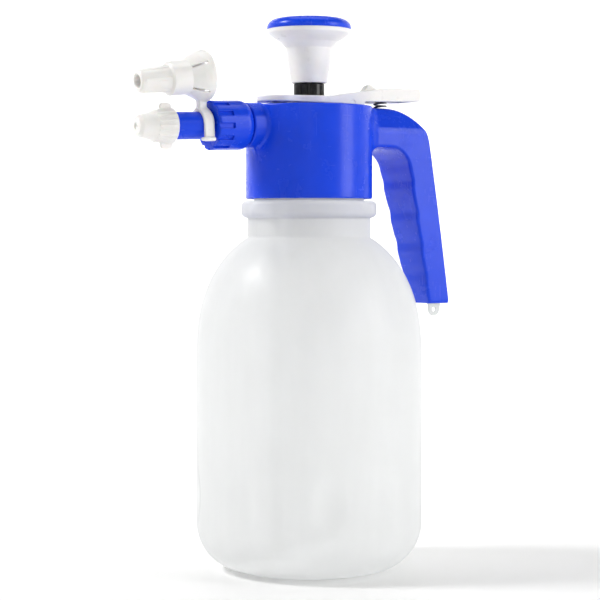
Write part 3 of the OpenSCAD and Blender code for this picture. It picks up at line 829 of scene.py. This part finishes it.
class Shader:
    """A new material's node tree, with short calls that add and join nodes."""

    def __init__(self, name):
        self.material = bpy.data.materials.new(name)
        self.material.use_nodes = True
        self.tree = self.material.node_tree
        self.tree.nodes.clear()
        self.place = self.add("ShaderNodeTexCoord").outputs["Object"]

    def add(self, kind, settings=None, **inputs):
        node = self.tree.nodes.new(kind)
        for key, value in (settings or {}).items():
            setattr(node, key, value)
        for key, value in inputs.items():
            target = node.inputs[int(key[1:]) if key[0] == "_" else key.replace("_", " ")]
            self.join(value, target)
        return node

    def noise(self, size_mm, detail=2.0, stretch=None):
        """Noise, from 0 to 1, whose lumps are about size_mm across."""
        place = self.place
        if stretch:
            place = self.add("ShaderNodeMapping", Vector=place, Scale=stretch).outputs[0]
        scale = 1000 / size_mm
        node = self.add("ShaderNodeTexNoise", Vector=place, Scale=scale, Detail=detail, Roughness=0.55)
        return node.outputs["Fac"]

    def span(self, value, low, high, start=0.3, end=0.7):
        """Maps start..end to low..high and holds it there outside."""
        node = self.add("ShaderNodeMapRange", Value=value, _1=start, _2=end, _3=low, _4=high)
        return node.outputs[0]

    def mix(self, factor, a, b):
        node = self.add("ShaderNodeMix", {"data_type": "RGBA"})
        self.join(factor, node.inputs[0])
        self.join(a, node.inputs[6])
        self.join(b, node.inputs[7])
        return node.outputs[2]

    def join(self, value, target):
        if isinstance(value, bpy.types.NodeSocket):
            self.tree.links.new(value, target)
        else:
            target.default_value = value

    def math(self, operation, a, b):
        return self.add("ShaderNodeMath", {"operation": operation}, _0=a, _1=b).outputs[0]

    def bump(self, height, depth_mm, normal=None):
        extra = {"Normal": normal} if normal else {}
        node = self.add("ShaderNodeBump", Height=height, Strength=1.0, Distance=depth_mm * MM, **extra)
        return node.outputs[0]

    def scratches(self):
        """Fine hairline marks that run two ways, mostly faint."""
        first = self.noise(1.2, 1.0, (1, 1, 0.06))
        second = self.noise(1.6, 1.0, (0.08, 0.6, 1))
        first, second = self.span(first, 0, 1, 0.66, 0.74), self.span(second, 0, 1, 0.68, 0.76)
        return self.math("MAXIMUM", first, second)

    def finish(self, shader):
        self.add("ShaderNodeOutputMaterial", Surface=shader.outputs[0])
        return self.material


def tone(colour, factor):
    return tuple(min(1.0, c * factor) for c in colour) + (1.0,)


def moulded(name, colour, rough, shine=0.5, grain=0.004, soft=0.0, edge=1.25):
    """Moulded plastic: shifts of colour and gloss, orange-peel grain, hairlines, and a painted highlight that
    lightens the edges.
    """
    shader = Shader(name)
    cloud = shader.noise(28, 3.0)
    fleck = shader.noise(2.5, 2.0)
    base = shader.mix(shader.span(cloud, 0, 1), tone(colour, 0.93), tone(colour, 1.06))
    base = shader.mix(shader.span(fleck, 0, 0.2), base, tone(colour, 1.08))
    # Painted highlight: convex edges, found by pointiness, are lightened in patches by the factor edge.
    edge_highlight = shader.add("ShaderNodeNewGeometry").outputs["Pointiness"]
    patchy = shader.span(shader.noise(5), 0.35, 1)
    edge_highlight = shader.math("MULTIPLY", shader.span(edge_highlight, 0, 0.55, 0.53, 0.62), patchy)
    base = shader.mix(edge_highlight, base, tone(tuple(c * 0.9 + 0.05 for c in colour), edge))
    marks = shader.scratches()
    gloss = shader.span(shader.noise(11, 3.0), rough * 0.86, rough * 1.16)
    gloss = shader.math("ADD", gloss, shader.math("MULTIPLY", marks, 0.03))
    normal = shader.bump(shader.noise(0.9, 2.0), grain)
    normal = shader.bump(shader.noise(7.0, 1.0), grain * 5, normal)
    normal = shader.bump(marks, -grain * 0.1, normal)
    body = shader.add("ShaderNodeBsdfPrincipled", Base_Color=base, Roughness=gloss, Normal=normal, IOR=1.49)
    body.inputs["Specular IOR Level"].default_value = shine
    if soft:
        body.inputs["Subsurface Weight"].default_value = soft
        body.inputs["Subsurface Radius"].default_value = (1, 0.8, 0.6)
        body.inputs["Subsurface Scale"].default_value = 1.2 * MM
    return shader.finish(body)


def milky(name, colour, clear, through, rough):
    """Cloudy polyethylene: light passes through it and scatters, and things behind it show faintly; painted shade
    darkens it towards the outline.
    """
    shader = Shader(name)
    cloud = shader.noise(34, 4.0)
    base = shader.mix(shader.span(cloud, 0, 1), tone(colour, 0.975), tone(colour, 1.01))
    streaks = shader.noise(9.0, 3.0, (1, 1, 0.12))
    base = shader.mix(shader.span(streaks, 0, 0.5), base, tone(colour, 0.95))
    # Painted shade: the colour darkens to 0.84 where the surface turns away from the view, towards the outline.
    facing = shader.add("ShaderNodeLayerWeight", Blend=0.5).outputs["Facing"]
    base = shader.mix(shader.span(facing, 0, 1, 0.8, 1.0), base, tone(colour, 0.84))
    marks = shader.scratches()
    gloss = shader.span(shader.noise(15, 3.0), rough * 0.9, rough * 1.15)
    gloss = shader.math("ADD", gloss, shader.math("MULTIPLY", marks, 0.12))
    normal = shader.bump(shader.noise(0.7, 2.0), 0.004)
    normal = shader.bump(shader.noise(16.0, 1.0), 0.05, normal)
    normal = shader.bump(shader.noise(6.0, 1.0, (1, 1, 0.1)), 0.012, normal)
    skin = shader.add("ShaderNodeBsdfPrincipled", Base_Color=base, Roughness=gloss, Normal=normal, IOR=1.5)
    glow = shader.add("ShaderNodeBsdfTranslucent", Color=base, Normal=normal)
    thick = shader.add("ShaderNodeMixShader", _0=through, _1=skin.outputs[0], _2=glow.outputs[0])
    open_way = shader.add("ShaderNodeBsdfTransparent", Color=tone(colour, 1.04))
    inner_face = shader.add("ShaderNodeNewGeometry").outputs["Backfacing"]
    share = shader.span(inner_face, clear, 0.92, 0, 1)
    whole = shader.add("ShaderNodeMixShader", _0=share, _1=thick.outputs[0], _2=open_way.outputs[0])
    return shader.finish(whole)


def rubber(name, colour):
    """Matt seal rubber with a fine grain and a dusty bloom."""
    shader = Shader(name)
    base = shader.mix(shader.span(shader.noise(4, 3.0), 0, 1), tone(colour, 0.8), tone(colour, 1.6))
    gloss = shader.span(shader.noise(2.2, 2.0), 0.5, 0.72)
    normal = shader.bump(shader.noise(0.35, 2.0), 0.01)
    body = shader.add("ShaderNodeBsdfPrincipled", Base_Color=base, Roughness=gloss, Normal=normal, IOR=1.5)
    return shader.finish(body)


def wire(name, colour):
    """Drawn stainless wire, with die lines and slight tarnish."""
    shader = Shader(name)
    base = shader.mix(shader.span(shader.noise(3.5, 3.0), 0, 1), tone(colour, 0.72), tone(colour, 1.1))
    gloss = shader.span(shader.noise(0.6, 2.0, (1, 1, 0.2)), 0.22, 0.42)
    normal = shader.bump(shader.noise(0.25, 1.0, (1, 1, 0.15)), 0.004)
    body = shader.add(
        "ShaderNodeBsdfPrincipled", Base_Color=base, Roughness=gloss, Normal=normal, Metallic=1.0
    )
    return shader.finish(body)


MATERIALS = {
    "milky_bottle": milky("milky_polyethylene", (0.96, 0.965, 0.965), 0.06, 0.6, 0.34),
    "milky_tube": milky("clear_polyethylene", (0.80, 0.81, 0.80), 0.22, 0.45, 0.30),
    # edge sets how strongly the painted highlight lightens each plastic's edges.
    "blue_plastic": moulded("blue_polypropylene", (0.004, 0.056, 0.76), 0.25, 0.3, 0.003, edge=1.25),
    "white_plastic": moulded("white_acetal", (0.90, 0.885, 0.86), 0.30, 0.45, 0.003, soft=0.35, edge=1.05),
    "black_plastic": moulded("black_nylon", (0.004, 0.004, 0.005), 0.16, 0.35, 0.003, edge=1.6),
    "rubber": rubber("seal_rubber", (0.022, 0.022, 0.024)),
    "steel": wire("stainless_wire", (0.25, 0.25, 0.26)),
}


# ---------- The object ----------


def install(piece, node):
    """The piece stands for a CAD node, moves with its body and takes its material."""
    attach(piece, BODY_OF[node])
    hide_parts(node)
    piece.data.materials.append(MATERIALS[SLOT_OF[node]])
    return piece


install(bottle(), "tank")
install(head(), "head_body")
install(handle_plug(), "handle_plug")
install(lever(), "lever")
install(valve_stem(), "valve_stem")
install(pump_gland(), "pump_gland")
install(pump_rod(), "pump_rod")
install(knob_body(), "knob_body")
install(knob_cap(), "knob_cap")
install(swivel_nut(), "swivel_nut")
install(nozzle_tube(), "nozzle_tube")
install(nozzle_cap(), "nozzle_cap")
install(foam_nozzle(), "foam_nozzle")

lever_spring = install(coil("lever_coil", SPRING_X, SPRING_LOW, SPRING_HIGH, 3.5, 0.5, 7), "lever_spring")
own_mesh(lever_spring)
valve_coil = coil("valve_coil", VALVE_X, VALVE_SPRING_LOW, VALVE_SPRING_HIGH, 3.0, 0.35, 6)
valve_spring = install(valve_coil, "valve_spring")
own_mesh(valve_spring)

for node, part in frame["nodes"].items():
    if not part.hide_render:
        part.data.materials.clear()
        part.data.materials.append(MATERIALS[SLOT_OF[node]])


# ---------- Floor, light and camera ----------


def studio():
    """A pale floor that curves up into a wall all round, out of the lights' way."""
    rows = [(0.0, 0.0), (0.4, 0.0), (0.9, 0.0), (1.7, 0.0)]
    for i in range(1, 13):
        a = math.radians(90 * i / 12)
        rows.append((1.7 + 0.8 * math.sin(a), 0.8 - 0.8 * math.cos(a)))
    rows.append((2.5, 2.2))
    steps = 96
    points = [(0.0, 0.0, 0.0)]
    for r, z in rows[1:]:
        points += [(r * math.cos(t), r * math.sin(t), z) for t in np.arange(steps) * 2 * math.pi / steps]
    faces = [(0, 1 + i, 1 + (i + 1) % steps) for i in range(steps)]
    for row in range(len(rows) - 2):
        start = 1 + row * steps
        for i in range(steps):
            j = (i + 1) % steps
            faces.append((start + i, start + steps + i, start + steps + j, start + j))
    mesh = bpy.data.meshes.new("studio_floor")
    mesh.from_pydata(points, [], faces)
    mesh.shade_smooth()
    floor = bpy.data.objects.new("studio_floor", mesh)
    bpy.context.scene.collection.objects.link(floor)
    shader = Shader("pale_floor")
    cloud = shader.span(shader.noise(180, 3.0), 0, 1)
    base = shader.mix(cloud, (0.93, 0.93, 0.925, 1), (0.96, 0.96, 0.955, 1))
    normal = shader.bump(shader.noise(1.5, 2.0), 0.01)
    body = shader.add("ShaderNodeBsdfPrincipled", Base_Color=base, Roughness=0.65, Normal=normal)
    mesh.materials.append(shader.finish(body))


def softbox(name, at, aim, width, height, watts, colour=(1, 1, 1)):
    data = bpy.data.lights.new(name, "AREA")
    data.shape = "RECTANGLE"
    data.size = width
    data.size_y = height
    data.energy = watts
    data.color = colour
    lamp = bpy.data.objects.new(name, data)
    bpy.context.scene.collection.objects.link(lamp)
    lamp.location = at
    lamp.rotation_euler = (Vector(aim) - Vector(at)).to_track_quat("-Z", "Y").to_euler()


AZIMUTH = math.radians(32)
RIGHT = np.array([math.cos(AZIMUTH), -math.sin(AZIMUTH), 0])
AHEAD = np.array([math.sin(AZIMUTH), math.cos(AZIMUTH), 0])
UP = np.array([0, 0, 1.0])
MIDDLE = np.array([0, 0, 0.17])
CAMERA_BACK, CAMERA_Z = 1.1, 0.191
AIM_LEFT, AIM_Z = 0.00507, 0.1516


def seen_from(right, ahead, up):
    """A place given as the camera sees it, from the middle of the object."""
    return tuple(MIDDLE + right * RIGHT + ahead * AHEAD + up * UP)


def lights():
    softbox("key", seen_from(-1.15, -0.1, 1.05), MIDDLE, 0.35, 0.35, 14)
    softbox("right_fill", seen_from(1.3, -0.4, 0.4), MIDDLE, 0.6, 1.2, 9)
    softbox("front_strip", seen_from(0.02, -1.5, 0.7), MIDDLE, 0.12, 1.0, 1.1)
    softbox("top", seen_from(0.1, 0.35, 1.5), MIDDLE, 1.2, 0.8, 5)
    softbox("backdrop", seen_from(0, 0.9, 1.2), seen_from(0, 2.3, 0.2), 1.6, 0.6, 30)
    world = bpy.data.worlds.new("studio_air")
    bpy.context.scene.world = world
    world.use_nodes = True
    background = world.node_tree.nodes["Background"]
    background.inputs["Color"].default_value = (1, 1, 1, 1)
    background.inputs["Strength"].default_value = 0.15


def camera():
    data = bpy.data.cameras.new("camera")
    data.sensor_width = 36
    data.lens = 117.24
    data.clip_start = 0.01
    eye = bpy.data.objects.new("camera", data)
    bpy.context.scene.collection.objects.link(eye)
    at = -CAMERA_BACK * AHEAD + CAMERA_Z * UP
    aim = -AIM_LEFT * RIGHT + AIM_Z * UP
    eye.location = at
    eye.rotation_euler = Vector(aim - at).to_track_quat("-Z", "Y").to_euler()
    bpy.context.scene.camera = eye


studio()
lights()
camera()
bpy.context.scene.view_settings.view_transform = "Standard"
